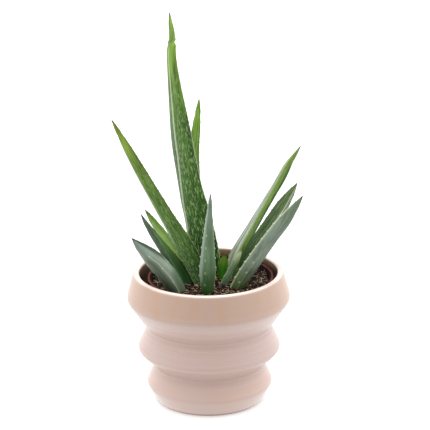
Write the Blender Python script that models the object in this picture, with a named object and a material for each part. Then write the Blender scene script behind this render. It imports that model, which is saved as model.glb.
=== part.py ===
"""Potted aloe vera: a young plant in a thin nursery pot, inside a waved, glazed ceramic pot.

Metres, +Z up. The origin is the centre of the ceramic pot's flat base, and the front is at -Y.
"""
from math import atan2, ceil, cos, pi, radians, sin, sqrt, tan

import bmesh
import bpy
from mathutils import Vector, noise

GAP = 0.0003                      # clearance between pieces that touch

# Ceramic pot: corners of the turned outline as (radius, height, fillet)
POT_HEIGHT = 0.1290
POT_FOOT = (0.0505, 0.0, 0.0030)
POT_RIDGE_LOW = (0.0609, 0.0184, 0.0060)
POT_VALLEY_LOW = (0.0528, 0.0360, 0.0030)
POT_RIDGE_MID = (0.0692, 0.0530, 0.0060)
POT_VALLEY_HIGH = (0.0595, 0.0748, 0.0040)
POT_RIDGE_HIGH = (0.0787, 0.1030, 0.0080)
POT_LIP_OUTER = (0.0716, POT_HEIGHT, 0.0035)
POT_LIP_INNER = (0.0650, POT_HEIGHT, 0.0022)
POT_WALL = 0.0060                 # level distance between the outer and inner outline
POT_FLOOR = 0.0080
POT_SEGMENTS = 44

# Nursery pot
NURSERY_CENTRE = (0.0020, 0.0)
NURSERY_BASE = POT_FLOOR + GAP
NURSERY_HEIGHT = 0.1151
NURSERY_FOOT_RADIUS = 0.0400
NURSERY_TOP_RADIUS = 0.0580
NURSERY_RIM_RADIUS = 0.0600
NURSERY_RIM_DEPTH = 0.0040
NURSERY_WALL = 0.0010
NURSERY_SEGMENTS = 40
DRAIN_HOLES = 5
DRAIN_RADIUS = 0.0045
DRAIN_CIRCLE = 0.0260

# Soil
SOIL_LEVEL = 0.1184
SOIL_SLOPE = 0.0340               # rise per metre towards the back
SOIL_RINGS = 11
SOIL_SEGMENTS = 44
SOIL_COARSE = (0.0110, 0.0010)    # size and height of the coarse relief
SOIL_FINE = (0.0045, 0.0008)      # size and height of the crumbs

# Stem: the short stock under the soil that carries the leaves
STEM_CENTRE = (-0.001, 0.000)
STEM_TOP = 0.1040
STEM_RADII = (0.0330, 0.0290)     # along X and along Y, at the top
STEM_EDGE = 0.0020                # height of the upright edge under the top
STEM_SHOULDER = (0.0260, 0.0070)  # radius of the flare, and its depth below the top
STEM_NECK = (0.0120, 0.0180)      # radius and length of the neck above the bottom
STEM_TIP = (0.0084, 0.0040)       # radius of the blunt end, and its height
STEM_BOTTOM = 0.0720
STEM_SEGMENTS = 28

# Dried stub
STUB_PLACE = (0.0075, -0.0165)
STUB_RADIUS = 0.0018
STUB_TAPER = 0.75                 # share of the radius that is left at the top
STUB_CAP = 0.0011                 # height of the blunt top
STUB_TOP = 0.1265
STUB_BOTTOM = 0.1090
STUB_SEGMENTS = 10

# Leaves
TOOTH_SPACING = 0.0100
TOOTH_HEIGHT = 0.0012
TOOTH_HALF_BASE = 0.0013
TOOTH_LEAN = 0.0007               # how far a tooth points towards the leaf's tip
TOOTH_START = 0.0040              # distance of the first tooth from where the leaf leaves the soil
TOOTH_LAST = 0.93                 # share of the leaf's length that carries teeth
TOOTH_SMALLEST = 0.45             # height share that a tooth at the very tip would have
THICKNESS_BASE = 0.32             # thickness as a share of the width, at the base
THICKNESS_TIP = 0.50              # and at the tip
KEEL_POWER = 2.2                  # roundness of the lower side across the leaf
KEEL_FULLNESS = 0.75
POCKET_CLEARANCE = 0.0005
SOIL_CLEAR = 0.0016               # height above the soil at which a leaf counts as out of it
TIP_REACH = 0.0160                # length of the fuller stretch behind the tip
TIP_FULLNESS = 0.0011             # and how much wider it is in its middle
TIP_RINGS = (0.40, 0.75, 0.94)    # sections between the last tooth and the tip
PATH_SAMPLES = 96
PATH_STEP = 0.0010

# A leaf's path runs from the stem to its tip. Widths are evenly spaced along it and end at the tip.
# Each face is a share of the length and the direction that the upper, channelled side looks in there.
LEAVES = {
    "leaf_tall": dict(
        path=[(0.000, 0.010, 0.104), (-0.0066, 0.017, 0.165), (-0.0134, 0.0187, 0.199),
              (-0.0183, 0.020, 0.233), (-0.0276, 0.023, 0.301), (-0.0309, 0.0253, 0.335),
              (-0.0296, 0.0262, 0.351), (-0.033, 0.028, 0.376)],
        widths=[0.0285, 0.0303, 0.0310, 0.0303, 0.0292, 0.0278, 0.0262, 0.0256, 0.0252, 0.0237, 0.0206,
                0.0171, 0.0139, 0.0113, 0.0096, 0.0060, 0.0],
        faces=[(0.00, (0.10, -1.0, 0.0)), (0.25, (0.60, -0.80, 0.0)), (0.50, (0.80, -0.60, 0.0)),
               (0.88, (0.75, -0.65, 0.0)), (0.905, (0.80, 0.50, 0.0))],
        channel=0.13, color=(0.10, 0.20, 0.045), teeth=0.5),
    "leaf_back": dict(
        path=[(-0.006, 0.030, 0.104), (-0.010, 0.032, 0.160), (-0.0125, 0.035, 0.225),
              (-0.0065, 0.038, 0.289)],
        widths=[0.0130, 0.0143, 0.0150, 0.0140, 0.0130, 0.0116, 0.0094, 0.0072, 0.0],
        faces=[(0.0, (-0.2, -1.0, 0.1))], channel=0.16, color=(0.16, 0.30, 0.06), teeth=0.4),
    "leaf_left_long": dict(
        path=[(0.001, -0.008, 0.104), (-0.0180, -0.002, 0.147), (-0.043, 0.010, 0.189),
              (-0.0664, 0.021, 0.229), (-0.090, 0.030, 0.272)],
        widths=[0.0140, 0.0188, 0.0190, 0.0150, 0.0130, 0.0112, 0.0078, 0.0],
        faces=[(0.0, (0.5, -0.75, 0.4)), (1.0, (0.4, -0.8, 0.5))], channel=0.14, color=(0.13, 0.25, 0.06),
        teeth=0.5),
    "leaf_left_pale": dict(
        path=[(-0.017, 0.016, 0.104), (-0.026, 0.019, 0.130), (-0.0415, 0.023, 0.156),
              (-0.060, 0.026, 0.183)],
        widths=[0.0130, 0.0145, 0.0140, 0.0115, 0.0078, 0.0],
        faces=[(0.0, (0.5, -0.6, 0.6))], channel=0.14, color=(0.30, 0.46, 0.10), teeth=0.6),
    "leaf_left_mid": dict(
        path=[(-0.0145, -0.015, 0.104), (-0.0268, -0.008, 0.134), (-0.044, -0.007, 0.1617),
              (-0.063, -0.012, 0.192)],
        widths=[0.0150, 0.0185, 0.0155, 0.0122, 0.0084, 0.0],
        faces=[(0.0, (0.6, -0.65, 0.45)), (1.0, (0.8, 0.2, 0.5))], channel=0.16, color=(0.12, 0.22, 0.11)),
    "leaf_left_low": dict(
        path=[(-0.0240, -0.020, 0.104), (-0.0368, -0.024, 0.131), (-0.0550, -0.031, 0.1571),
              (-0.071, -0.042, 0.178)],
        widths=[0.0150, 0.0170, 0.0178, 0.0175, 0.0124, 0.0],
        faces=[(0.0, (-0.08, 0.97, 0.15)), (0.6, (-0.25, 0.92, 0.25)), (1.0, (0.25, 0.78, 0.6))],
        channel=0.18, teeth=0.4, color=(0.26, 0.36, 0.28)),
    "leaf_front": dict(
        path=[(-0.001, -0.027, 0.104), (-0.001, -0.029, 0.1318), (0.0005, -0.032, 0.1717),
              (0.003, -0.038, 0.219)],
        widths=[0.0080, 0.0100, 0.0138, 0.0156, 0.0142, 0.0124, 0.0105, 0.0084, 0.0060, 0.0031, 0.0],
        faces=[(0.0, (0.15, 1.0, 0.2))], channel=0.16, teeth=0.7, color=(0.19, 0.29, 0.22)),
    "leaf_bud": dict(
        path=[(0.0115, 0.001, 0.106), (0.013, 0.002, 0.122), (0.016, 0.004, 0.145)],
        widths=[0.0064, 0.0078, 0.0084, 0.0082, 0.0072, 0.0],
        faces=[(0.0, (0.0, -1.0, 0.2))], channel=0.14, color=(0.03, 0.14, 0.02), teeth=0.5),
    "leaf_right_long": dict(
        path=[(0.017, 0.012, 0.104), (0.0225, 0.013, 0.137), (0.0415, 0.016, 0.172),
              (0.0625, 0.019, 0.208), (0.0744, 0.021, 0.229), (0.0895, 0.024, 0.246)],
        widths=[0.0180, 0.0187, 0.0167, 0.0145, 0.0130, 0.0120, 0.0],
        faces=[(0.0, (-0.85, -0.3, 0.4)), (0.5, (-0.9, -0.05, 0.45)), (1.0, (-0.9, 0.2, 0.4))],
        channel=0.15, color=(0.13, 0.26, 0.05), teeth=0.5),
    "leaf_front_small": dict(
        path=[(0.0115, -0.004, 0.106), (0.0155, -0.005, 0.122), (0.0235, -0.006, 0.138),
              (0.032, -0.008, 0.154)],
        widths=[0.0085, 0.0090, 0.0080, 0.0060, 0.0],
        faces=[(0.0, (-0.6, 0.5, 0.6))], channel=0.16, color=(0.16, 0.28, 0.16)),
    "leaf_right_mid": dict(
        path=[(0.027, 0.022, 0.104), (0.036, 0.022, 0.131), (0.0591, 0.024, 0.168),
              (0.086, 0.025, 0.208)],
        widths=[0.0150, 0.0165, 0.0160, 0.0145, 0.0126, 0.0],
        faces=[(0.0, (-0.5, -0.6, 0.6))], channel=0.14, color=(0.15, 0.25, 0.13)),
    "leaf_right_front": dict(
        path=[(0.020, -0.012, 0.104), (0.036, -0.018, 0.136), (0.062, -0.028, 0.178),
              (0.089, -0.035, 0.215)],
        widths=[0.0140, 0.0165, 0.0165, 0.0153, 0.0130, 0.0],
        faces=[(0.0, (-0.5, 0.8, 0.3))], channel=0.16, color=(0.17, 0.27, 0.19)),
}


def clear_scene():
    for thing in list(bpy.data.objects):
        bpy.data.objects.remove(thing, do_unlink=True)


def material(name, color, roughness, metallic=0.0):
    made = bpy.data.materials.new(name)
    made.use_nodes = True
    shader = made.node_tree.nodes["Principled BSDF"]
    shader.inputs["Base Color"].default_value = (*color, 1.0)
    shader.inputs["Roughness"].default_value = roughness
    shader.inputs["Metallic"].default_value = metallic
    return made


def add_object(name, mesh_data, finish=None):
    thing = bpy.data.objects.new(name, mesh_data)
    bpy.context.scene.collection.objects.link(thing)
    if finish:
        mesh_data.materials.append(finish)
    return thing


def finished_mesh(name, bm, sharp_angle=radians(40)):
    """Turn a bmesh into a mesh with its faces pointing out and shaded smooth up to the angle."""
    bmesh.ops.recalc_face_normals(bm, faces=bm.faces)
    made = bpy.data.meshes.new(name)
    bm.to_mesh(made)
    bm.free()
    made.shade_smooth()
    made.set_sharp_from_angle(angle=sharp_angle)
    return made


def rounded(corners, step=radians(30)):
    """Replace each (radius, height, fillet) corner of an open outline by an arc."""
    outline = []
    for index, (x, z, fillet) in enumerate(corners):
        if fillet == 0.0 or index in (0, len(corners) - 1):
            outline.append((x, z))
            continue
        corner = Vector((x, z))
        before = (Vector(corners[index - 1][:2]) - corner).normalized()
        after = (Vector(corners[index + 1][:2]) - corner).normalized()
        half = before.angle(after) / 2
        centre = corner + (before + after).normalized() * fillet / sin(half)
        first = corner + before * fillet / tan(half) - centre
        last = corner + after * fillet / tan(half) - centre
        start = atan2(first.y, first.x)
        turn = (atan2(last.y, last.x) - start + pi) % (2 * pi) - pi
        steps = max(2, ceil(abs(turn) / step))
        for k in range(steps + 1):
            angle = start + turn * k / steps
            outline.append((centre.x + fillet * cos(angle), centre.y + fillet * sin(angle)))
    return outline


def turned(name, outline, segments, centre=(0.0, 0.0), stretch=(1.0, 1.0)):
    """Spin an outline of (radius, height) points about the vertical axis. Its ends lie on the axis."""
    bm = bmesh.new()
    rings = []
    for radius, height in outline:
        if radius < 1e-6:
            rings.append([bm.verts.new((centre[0], centre[1], height))])
            continue
        ring = []
        for k in range(segments):
            angle = 2 * pi * k / segments
            x = centre[0] + radius * stretch[0] * cos(angle)
            y = centre[1] + radius * stretch[1] * sin(angle)
            ring.append(bm.verts.new((x, y, height)))
        rings.append(ring)
    for lower, upper in zip(rings, rings[1:]):
        for k in range(segments):
            n = (k + 1) % segments
            if len(lower) == 1:
                bm.faces.new((lower[0], upper[k], upper[n]))
            elif len(upper) == 1:
                bm.faces.new((lower[k], lower[n], upper[0]))
            else:
                bm.faces.new((lower[k], lower[n], upper[n], upper[k]))
    return finished_mesh(name, bm)


def pot_outline():
    """The ceramic pot's wall: out along the base, up the outside, over the lip and down the inside."""
    waves = [POT_RIDGE_LOW, POT_VALLEY_LOW, POT_RIDGE_MID, POT_VALLEY_HIGH, POT_RIDGE_HIGH]
    inner_waves = [(r - POT_WALL, z, fillet) for r, z, fillet in reversed(waves)]
    inner_foot = (POT_FOOT[0] - POT_WALL, POT_FLOOR, POT_FOOT[2])
    corners = [(0.0, 0.0, 0.0), POT_FOOT, *waves, POT_LIP_OUTER, POT_LIP_INNER, *inner_waves, inner_foot,
               (0.0, POT_FLOOR, 0.0)]
    return rounded(corners)


def build_ceramic_pot():
    glaze = material("glazed_ceramic", (0.62, 0.46, 0.38), 0.32)
    return add_object("ceramic_pot", turned("ceramic_pot", pot_outline(), POT_SEGMENTS), glaze)


def nursery_radius(height):
    """Outer radius of the nursery pot's wall at a height above the ground."""
    share = (height - NURSERY_BASE) / NURSERY_HEIGHT
    return NURSERY_FOOT_RADIUS + share * (NURSERY_TOP_RADIUS - NURSERY_FOOT_RADIUS)


def build_nursery_pot():
    top = NURSERY_BASE + NURSERY_HEIGHT
    under_rim = top - NURSERY_RIM_DEPTH
    floor = NURSERY_BASE + NURSERY_WALL
    outline = [(0.0, NURSERY_BASE),
               (NURSERY_FOOT_RADIUS, NURSERY_BASE),
               (nursery_radius(under_rim), under_rim),
               (NURSERY_RIM_RADIUS, under_rim),
               (NURSERY_RIM_RADIUS, top - NURSERY_WALL / 2),
               (NURSERY_RIM_RADIUS - NURSERY_WALL / 2, top),
               (NURSERY_TOP_RADIUS - NURSERY_WALL / 2, top),
               (NURSERY_TOP_RADIUS - NURSERY_WALL, top - NURSERY_WALL / 2),
               (nursery_radius(floor) - NURSERY_WALL, floor),
               (0.0, floor)]
    plastic = material("terracotta_plastic", (0.28, 0.075, 0.045), 0.45)
    mesh_data = turned("nursery_pot", outline, NURSERY_SEGMENTS, NURSERY_CENTRE)
    pot = add_object("nursery_pot", mesh_data, plastic)
    for k in range(DRAIN_HOLES):
        angle = 2 * pi * k / DRAIN_HOLES
        bm = bmesh.new()
        bmesh.ops.create_cone(bm, cap_ends=True, segments=10, radius1=DRAIN_RADIUS, radius2=DRAIN_RADIUS,
                              depth=4 * NURSERY_WALL)
        drill = add_object(f"drain_drill_{k}", finished_mesh("drain_drill", bm))
        drill.location = (NURSERY_CENTRE[0] + DRAIN_CIRCLE * cos(angle),
                          NURSERY_CENTRE[1] + DRAIN_CIRCLE * sin(angle),
                          NURSERY_BASE + NURSERY_WALL / 2)
        cut(pot, drill)
    return pot


def cut(thing, cutter):
    """Take a cutter out of a piece with an exact Boolean, and hide the cutter."""
    cutter.hide_render = True
    cutter.display_type = "WIRE"
    difference = thing.modifiers.new("cut", "BOOLEAN")
    difference.operation = "DIFFERENCE"
    difference.solver = "EXACT"
    difference.object = cutter


def spline(points, share):
    """Point of a smooth curve through evenly spaced points, for a share of the way from 0 to 1."""
    last = len(points) - 1
    index = min(int(share * last), last - 1)
    local = share * last - index
    start = points[index]
    end = points[index + 1]
    before = points[index - 1] if index > 0 else 2 * start - end
    after = points[index + 2] if index + 2 <= last else 2 * end - start
    return 0.5 * (2 * start + (end - before) * local
                  + (2 * before - 5 * start + 4 * end - after) * local ** 2
                  + (3 * start - before - 3 * end + after) * local ** 3)


class Leaf:
    """The smooth form of one leaf, read by distance along its path."""

    def __init__(self, path, widths, faces, channel, color, teeth=1.0):
        nodes = [Vector(point) for point in path]
        self.points = [spline(nodes, k / PATH_SAMPLES) for k in range(PATH_SAMPLES + 1)]
        self.lengths = [0.0]
        for start, end in zip(self.points, self.points[1:]):
            self.lengths.append(self.lengths[-1] + (end - start).length)
        self.length = self.lengths[-1]
        self.widths = widths
        self.faces = [(share, Vector(face)) for share, face in faces]
        self.channel = channel
        self.color = color
        self.teeth = teeth

    def face(self, share):
        """Direction that the upper side looks in, turned evenly between the given ones."""
        below = [entry for entry in self.faces if entry[0] <= share]
        above = [entry for entry in self.faces if entry[0] > share]
        if not above:
            return self.faces[-1][1]
        start, first = below[-1]
        end, second = above[0]
        return first.lerp(second, (share - start) / (end - start))

    def frame(self, distance):
        """Centre, direction, upper normal and sideways axis at a distance from the base."""
        index = 0
        while index < PATH_SAMPLES - 1 and self.lengths[index + 1] < distance:
            index += 1
        start, end = self.points[index], self.points[index + 1]
        local = (distance - self.lengths[index]) / (self.lengths[index + 1] - self.lengths[index])
        centre = start.lerp(end, local)
        before = self.points[max(index - 1, 0)]
        after = self.points[min(index + 2, PATH_SAMPLES)]
        along = (after - before).normalized()
        face = self.face(distance / self.length)
        upper = (face - along * face.dot(along)).normalized()
        return centre, along, upper, along.cross(upper)

    def width(self, distance):
        """Width at a distance. The last stretch is fuller, so that the leaf ends in a blunt point."""
        ahead = min(max((self.length - distance) / TIP_REACH, 0.0), 1.0)
        fullness = 2 * TIP_FULLNESS * sqrt(ahead * (1 - ahead))
        return max(spline(self.widths, distance / self.length), 0.0) + fullness

    def section(self, distance, across=(0.72, 0.0, -0.72), below=(-0.78, 0.0, 0.78), tooth=0.0):
        """Points round the leaf: one margin, the upper side, the other margin, the lower side."""
        centre, along, upper, side = self.frame(distance)
        share = distance / self.length
        width = self.width(distance)
        half = width / 2
        thickness = width * (THICKNESS_BASE + (THICKNESS_TIP - THICKNESS_BASE) * share)
        depth = width * self.channel
        reach = half + tooth
        lean = along * TOOTH_LEAN * min(1.0, tooth / TOOTH_HEIGHT)
        ring = [centre + side * reach + lean]
        for place in across:
            dip = depth * (1 - place ** 2)
            ring.append(centre + side * half * place - upper * dip)
        ring.append(centre - side * reach + lean)
        for place in below:
            drop = (depth + thickness) * (1 - abs(place) ** KEEL_POWER) ** KEEL_FULLNESS
            ring.append(centre + side * half * place - upper * drop)
        return ring


def skin(name, rings, tip=None):
    """Close a stack of equal rings into one body, ending in a point if a tip is given."""
    bm = bmesh.new()
    rows = [[bm.verts.new(point) for point in ring] for ring in rings]
    count = len(rows[0])
    for lower, upper in zip(rows, rows[1:]):
        for k in range(count):
            n = (k + 1) % count
            bm.faces.new((lower[k], lower[n], upper[n]))
            bm.faces.new((lower[k], upper[n], upper[k]))
    bm.faces.new(rows[0])
    if tip is None:
        bm.faces.new(rows[-1])
    else:
        apex = bm.verts.new(tip)
        for k in range(count):
            bm.faces.new((rows[-1][k], rows[-1][(k + 1) % count], apex))
    bmesh.ops.triangulate(bm, faces=bm.faces)
    return finished_mesh(name, bm, radians(50))


def in_soil(leaf, distance):
    """Whether any point of a section is in the soil or barely above it."""
    return any(point.z < soil_height(point.x, point.y) + SOIL_CLEAR for point in leaf.section(distance))


def rooted_places(leaf):
    """Distances of the sections from the leaf's lower end to where all of it is clear of the soil."""
    clear = 0.0
    while in_soil(leaf, clear):
        clear += PATH_STEP
    return [0.0, clear / 2, clear]


def tooth_places(leaf):
    """Distances of the teeth from the leaf's lower end, evenly spaced."""
    first = rooted_places(leaf)[-1] + TOOTH_START
    last = leaf.length * TOOTH_LAST
    if last - first < TOOTH_SPACING:
        return [(first + last) / 2]
    count = round((last - first) / TOOTH_SPACING)
    return [first + (last - first) * k / count for k in range(count + 1)]


def leaf_mesh(name, leaf):
    """A leaf with a tooth on each margin at every tooth place."""
    teeth = tooth_places(leaf)
    rings = [leaf.section(place) for place in rooted_places(leaf)]
    for place in teeth:
        height = leaf.teeth * TOOTH_HEIGHT * min(1.0, TOOTH_SMALLEST + (1 - place / leaf.length))
        rings.append(leaf.section(place - TOOTH_HALF_BASE))
        rings.append(leaf.section(place, tooth=height))
        rings.append(leaf.section(place + TOOTH_HALF_BASE))
    last = teeth[-1] + TOOTH_HALF_BASE
    for share in TIP_RINGS:
        rings.append(leaf.section(last + share * (leaf.length - last)))
    level = STEM_TOP + GAP
    along = leaf.frame(0.0)[1]
    rings[0] = [point + along * (level - point.z) / along.z for point in rings[0]]
    return skin(name, rings, leaf.points[-1])


def grown(ring, along, amount):
    """Move the sides of a ring outwards by the same amount."""
    moved = []
    for before, point, after in zip(ring[-1:] + ring, ring, ring[1:] + ring[:1]):
        first = along.cross(point - before).normalized()
        second = along.cross(after - point).normalized()
        moved.append(point + (first + second) * amount / (1 + first.dot(second)))
    return moved


def pocket_cutter(name, leaf):
    """The leaf's form with clearance, from below its end to above the soil."""
    rings = [grown(leaf.section(place), leaf.frame(place)[1], POCKET_CLEARANCE)
             for place in rooted_places(leaf)]
    along = leaf.frame(0.0)[1]
    rings[0] = [point + along * (STEM_TOP - GAP - point.z) / along.z for point in rings[0]]
    return add_object(f"pocket_{name}", skin(f"pocket_{name}", rings))


def build_leaves():
    leaves = {}
    for name, spec in LEAVES.items():
        leaf = Leaf(**spec)
        finish = material(name, leaf.color, 0.42)
        add_object(name, leaf_mesh(name, leaf), finish)
        leaves[name] = leaf
    return leaves


def soil_height(x, y):
    """Level of the crumbly top at a place, from a slope and two sizes of relief."""
    level = SOIL_LEVEL + SOIL_SLOPE * y
    for size, height in (SOIL_COARSE, SOIL_FINE):
        level += height * noise.noise(Vector((x, y, size)) / size)
    return level


def soil_ring(ring):
    """Places of one ring of the soil's top. Every other ring is turned by half a step."""
    edge = nursery_radius(SOIL_LEVEL - SOIL_SLOPE * NURSERY_TOP_RADIUS) - NURSERY_WALL - 2 * GAP
    radius = edge * ring / SOIL_RINGS
    places = []
    for k in range(SOIL_SEGMENTS):
        angle = 2 * pi * (k + 0.5 * (ring % 2)) / SOIL_SEGMENTS
        places.append((NURSERY_CENTRE[0] + radius * cos(angle), NURSERY_CENTRE[1] + radius * sin(angle)))
    return places


def soil_mesh():
    floor = NURSERY_BASE + NURSERY_WALL + GAP
    bm = bmesh.new()
    rows = []
    for ring in range(1, SOIL_RINGS + 1):
        rows.append([bm.verts.new((x, y, soil_height(x, y))) for x, y in soil_ring(ring)])
    bottom = []
    for k in range(SOIL_SEGMENTS):
        angle = 2 * pi * (k + 0.5 * (SOIL_RINGS % 2)) / SOIL_SEGMENTS
        radius = nursery_radius(floor) - NURSERY_WALL - 2 * GAP
        bottom.append(bm.verts.new((NURSERY_CENTRE[0] + radius * cos(angle),
                                    NURSERY_CENTRE[1] + radius * sin(angle), floor)))
    centre = bm.verts.new((*NURSERY_CENTRE, soil_height(*NURSERY_CENTRE)))
    for k in range(SOIL_SEGMENTS):
        n = (k + 1) % SOIL_SEGMENTS
        bm.faces.new((centre, rows[0][k], rows[0][n]))
        bm.faces.new((rows[-1][k], bottom[k], bottom[n], rows[-1][n]))
        for index, (inner, outer) in enumerate(zip(rows, rows[1:])):
            if index % 2 == 0:
                bm.faces.new((inner[k], outer[k], outer[n]))
                bm.faces.new((inner[k], outer[n], inner[n]))
            else:
                bm.faces.new((inner[k], outer[k], inner[n]))
                bm.faces.new((inner[n], outer[k], outer[n]))
    bm.faces.new(bottom)
    return finished_mesh("soil", bm, radians(60))


def build_soil(leaves):
    earth = material("potting_soil", (0.035, 0.020, 0.014), 0.95)
    soil = add_object("soil", soil_mesh(), earth)
    for name, leaf in leaves.items():
        cut(soil, pocket_cutter(name, leaf))
    cut(soil, add_object("stem_hole", stem_mesh("stem_hole", 2 * GAP)))
    cut(soil, add_object("stub_hole", stub_mesh("stub_hole", GAP, 1.0)))
    return soil


def stem_mesh(name, grow=0.0):
    """A short stock: a broad flat top that narrows to a neck and a blunt lower end."""
    flattened = STEM_RADII[1] / STEM_RADII[0]
    outline = [(0.0, STEM_BOTTOM - grow),
               (STEM_TIP[0] + grow, STEM_BOTTOM - grow),
               (STEM_NECK[0] + grow, STEM_BOTTOM + STEM_TIP[1]),
               (STEM_NECK[0] + grow, STEM_BOTTOM + STEM_NECK[1]),
               (STEM_SHOULDER[0] + grow, STEM_TOP - STEM_SHOULDER[1]),
               (STEM_RADII[0] + grow, STEM_TOP - STEM_EDGE),
               (STEM_RADII[0] + grow, STEM_TOP + grow),
               (0.0, STEM_TOP + grow)]
    return turned(name, outline, STEM_SEGMENTS, STEM_CENTRE, (1.0, flattened))


def build_stem():
    bark = material("stem", (0.22, 0.20, 0.09), 0.7)
    return add_object("stem", stem_mesh("stem"), bark)


def stub_mesh(name, grow=0.0, taper=STUB_TAPER):
    """A withered stub with a blunt top."""
    top_radius = STUB_RADIUS * taper + grow
    outline = [(0.0, STUB_BOTTOM - grow),
               (STUB_RADIUS + grow, STUB_BOTTOM - grow),
               (top_radius, STUB_TOP - STUB_CAP),
               (top_radius / 2, STUB_TOP),
               (0.0, STUB_TOP)]
    return turned(name, outline, STUB_SEGMENTS, STUB_PLACE)


def build_stub():
    dried = material("dried_stub", (0.10, 0.03, 0.02), 0.8)
    return add_object("dried_stub", stub_mesh("dried_stub"), dried)


def main():
    clear_scene()
    build_ceramic_pot()
    build_nursery_pot()
    leaves = build_leaves()
    build_soil(leaves)
    build_stem()
    build_stub()


main()
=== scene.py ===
"""Potted aloe vera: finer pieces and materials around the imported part, with light and camera.

Metres, +Z up. The origin is the centre of the ceramic pot's flat base, and the front is at -Y.
"""
import random
from math import atan2, ceil, cos, hypot, pi, radians, sin, sqrt, tan

import bmesh
import bpy
from mathutils import Euler, Matrix, Vector, noise


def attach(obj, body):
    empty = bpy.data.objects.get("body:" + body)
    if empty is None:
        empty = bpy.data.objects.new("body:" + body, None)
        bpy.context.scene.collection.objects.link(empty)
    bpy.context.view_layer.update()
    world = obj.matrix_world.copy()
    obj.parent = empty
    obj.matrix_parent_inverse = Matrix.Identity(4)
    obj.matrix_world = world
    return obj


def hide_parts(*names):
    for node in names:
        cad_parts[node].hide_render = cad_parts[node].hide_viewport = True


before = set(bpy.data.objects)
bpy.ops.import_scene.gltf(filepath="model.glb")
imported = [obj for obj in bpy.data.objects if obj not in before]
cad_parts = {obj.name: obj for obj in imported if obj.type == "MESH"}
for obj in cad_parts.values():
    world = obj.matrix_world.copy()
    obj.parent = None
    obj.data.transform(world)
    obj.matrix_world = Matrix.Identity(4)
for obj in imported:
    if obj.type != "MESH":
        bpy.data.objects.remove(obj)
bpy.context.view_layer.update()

# The part has one body, and touching nodes keep a gap
BODY = "root"
GAP = 0.0003

# Ceramic pot: corners of the turned outline as (radius, height, fillet)
POT_HEIGHT = 0.1290
POT_FOOT = (0.0505, 0.0, 0.0030)
POT_RIDGE_LOW = (0.0609, 0.0184, 0.0060)
POT_VALLEY_LOW = (0.0528, 0.0360, 0.0030)
POT_RIDGE_MID = (0.0692, 0.0530, 0.0060)
POT_VALLEY_HIGH = (0.0595, 0.0748, 0.0040)
POT_RIDGE_HIGH = (0.0787, 0.1030, 0.0080)
POT_LIP_OUTER = (0.0716, POT_HEIGHT, 0.0035)
POT_LIP_INNER = (0.0650, POT_HEIGHT, 0.0022)
POT_WALL = 0.0060
POT_FLOOR = 0.0080
POT_SEGMENTS = 192
ARC_STEP = radians(7)
OUTLINE_STEP = 0.0040

# Glaze: heights of its colour change and of its painted shade, contact shadow and highlight, and how far the
# painted shade of a groove reaches
GLAZE_WARM = (0.098, 0.110)
GLAZE_INSIDE_SHADE = (POT_HEIGHT - 0.010, POT_HEIGHT - 0.003)
GLAZE_FOOT_SHADOW = (0.0010, 0.0034)
GLAZE_LIP_HIGHLIGHT = (POT_HEIGHT - 0.0014, POT_HEIGHT - 0.0004)
GROOVE_SHADE = 0.006

# Nursery pot
NURSERY_CENTRE = (0.0020, 0.0)
NURSERY_BASE = POT_FLOOR + GAP
NURSERY_HEIGHT = 0.1151
NURSERY_FOOT_RADIUS = 0.0400
NURSERY_TOP_RADIUS = 0.0580
NURSERY_RIM_RADIUS = 0.0600
NURSERY_RIM_DEPTH = 0.0040
NURSERY_WALL = 0.0010
NURSERY_SEGMENTS = 160
# Radii between which the painted shade on the nursery pot's inner wall fades out
NURSERY_INSIDE_SHADE = (NURSERY_TOP_RADIUS - 0.0002, NURSERY_TOP_RADIUS + 0.0008)
DRAIN_HOLES = 5
DRAIN_RADIUS = 0.0045
DRAIN_CIRCLE = 0.0260

# Soil: level in the middle, rise per metre towards the back, and four kinds of relief as (size, height)
SOIL_LEVEL = 0.1184
SOIL_SLOPE = 0.0340
SOIL_RINGS = 100
SOIL_SEGMENTS = 330
SOIL_COARSE = (0.0110, 0.0010)
SOIL_FINE = (0.0045, 0.0008)
SOIL_CRUMB = (0.0017, 0.0011)
SOIL_GRIT = (SOIL_CRUMB[0] / 2.3, SOIL_CRUMB[1] / 2.5)
FIBRES = 420
FIBRE_LENGTHS = (0.002, 0.0075)
FIBRE_WIDTHS = (0.00015, 0.0005)
FIBRE_STEPS = 4

# Dried stub
STUB_PLACE = (0.0075, -0.0165)
STUB_RADIUS = 0.0018
STUB_TOP = 0.1265
STUB_BOTTOM = 0.1090
STUB_STEPS = 22
STUB_SIDES = 20
STUB_TAPER = 0.28
STUB_ROUND_FROM = 0.93
STUB_ROUNDING = 5.5
STUB_RED = (STUB_TOP - 0.0012, STUB_TOP - 0.0004)

# Leaves
STEM_TOP = 0.1040
TOOTH_SPACING = 0.0100
TOOTH_HEIGHT = 0.0013
TOOTH_HALF_BASE = 0.0013
TOOTH_LEAN = 0.0008
TOOTH_START = 0.0040
TOOTH_LAST = 0.93
TOOTH_SMALLEST = 0.45
TOOTH_CURVE = 1.4
TOOTH_STEPS = (-1.0, -0.6, -0.3, -0.1, 0.1, 0.3, 0.6, 1.0)
TOOTH_ROOT = 0.94
TOOTH_ROOT_SPAN = 0.06
TOOTH_ROOT_CURVE = 1.5
THICKNESS_BASE = 0.32
THICKNESS_TIP = 0.50
KEEL_POWER = 2.2
KEEL_FULLNESS = 0.75
SOIL_CLEAR = 0.0016
TIP_REACH = 0.0160
TIP_FULLNESS = 0.0011
PATH_SAMPLES = 192
RING_STEP = 0.0013
LAST_RING = 0.997
UPPER_POINTS = 16
LOWER_POINTS = 20

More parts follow.
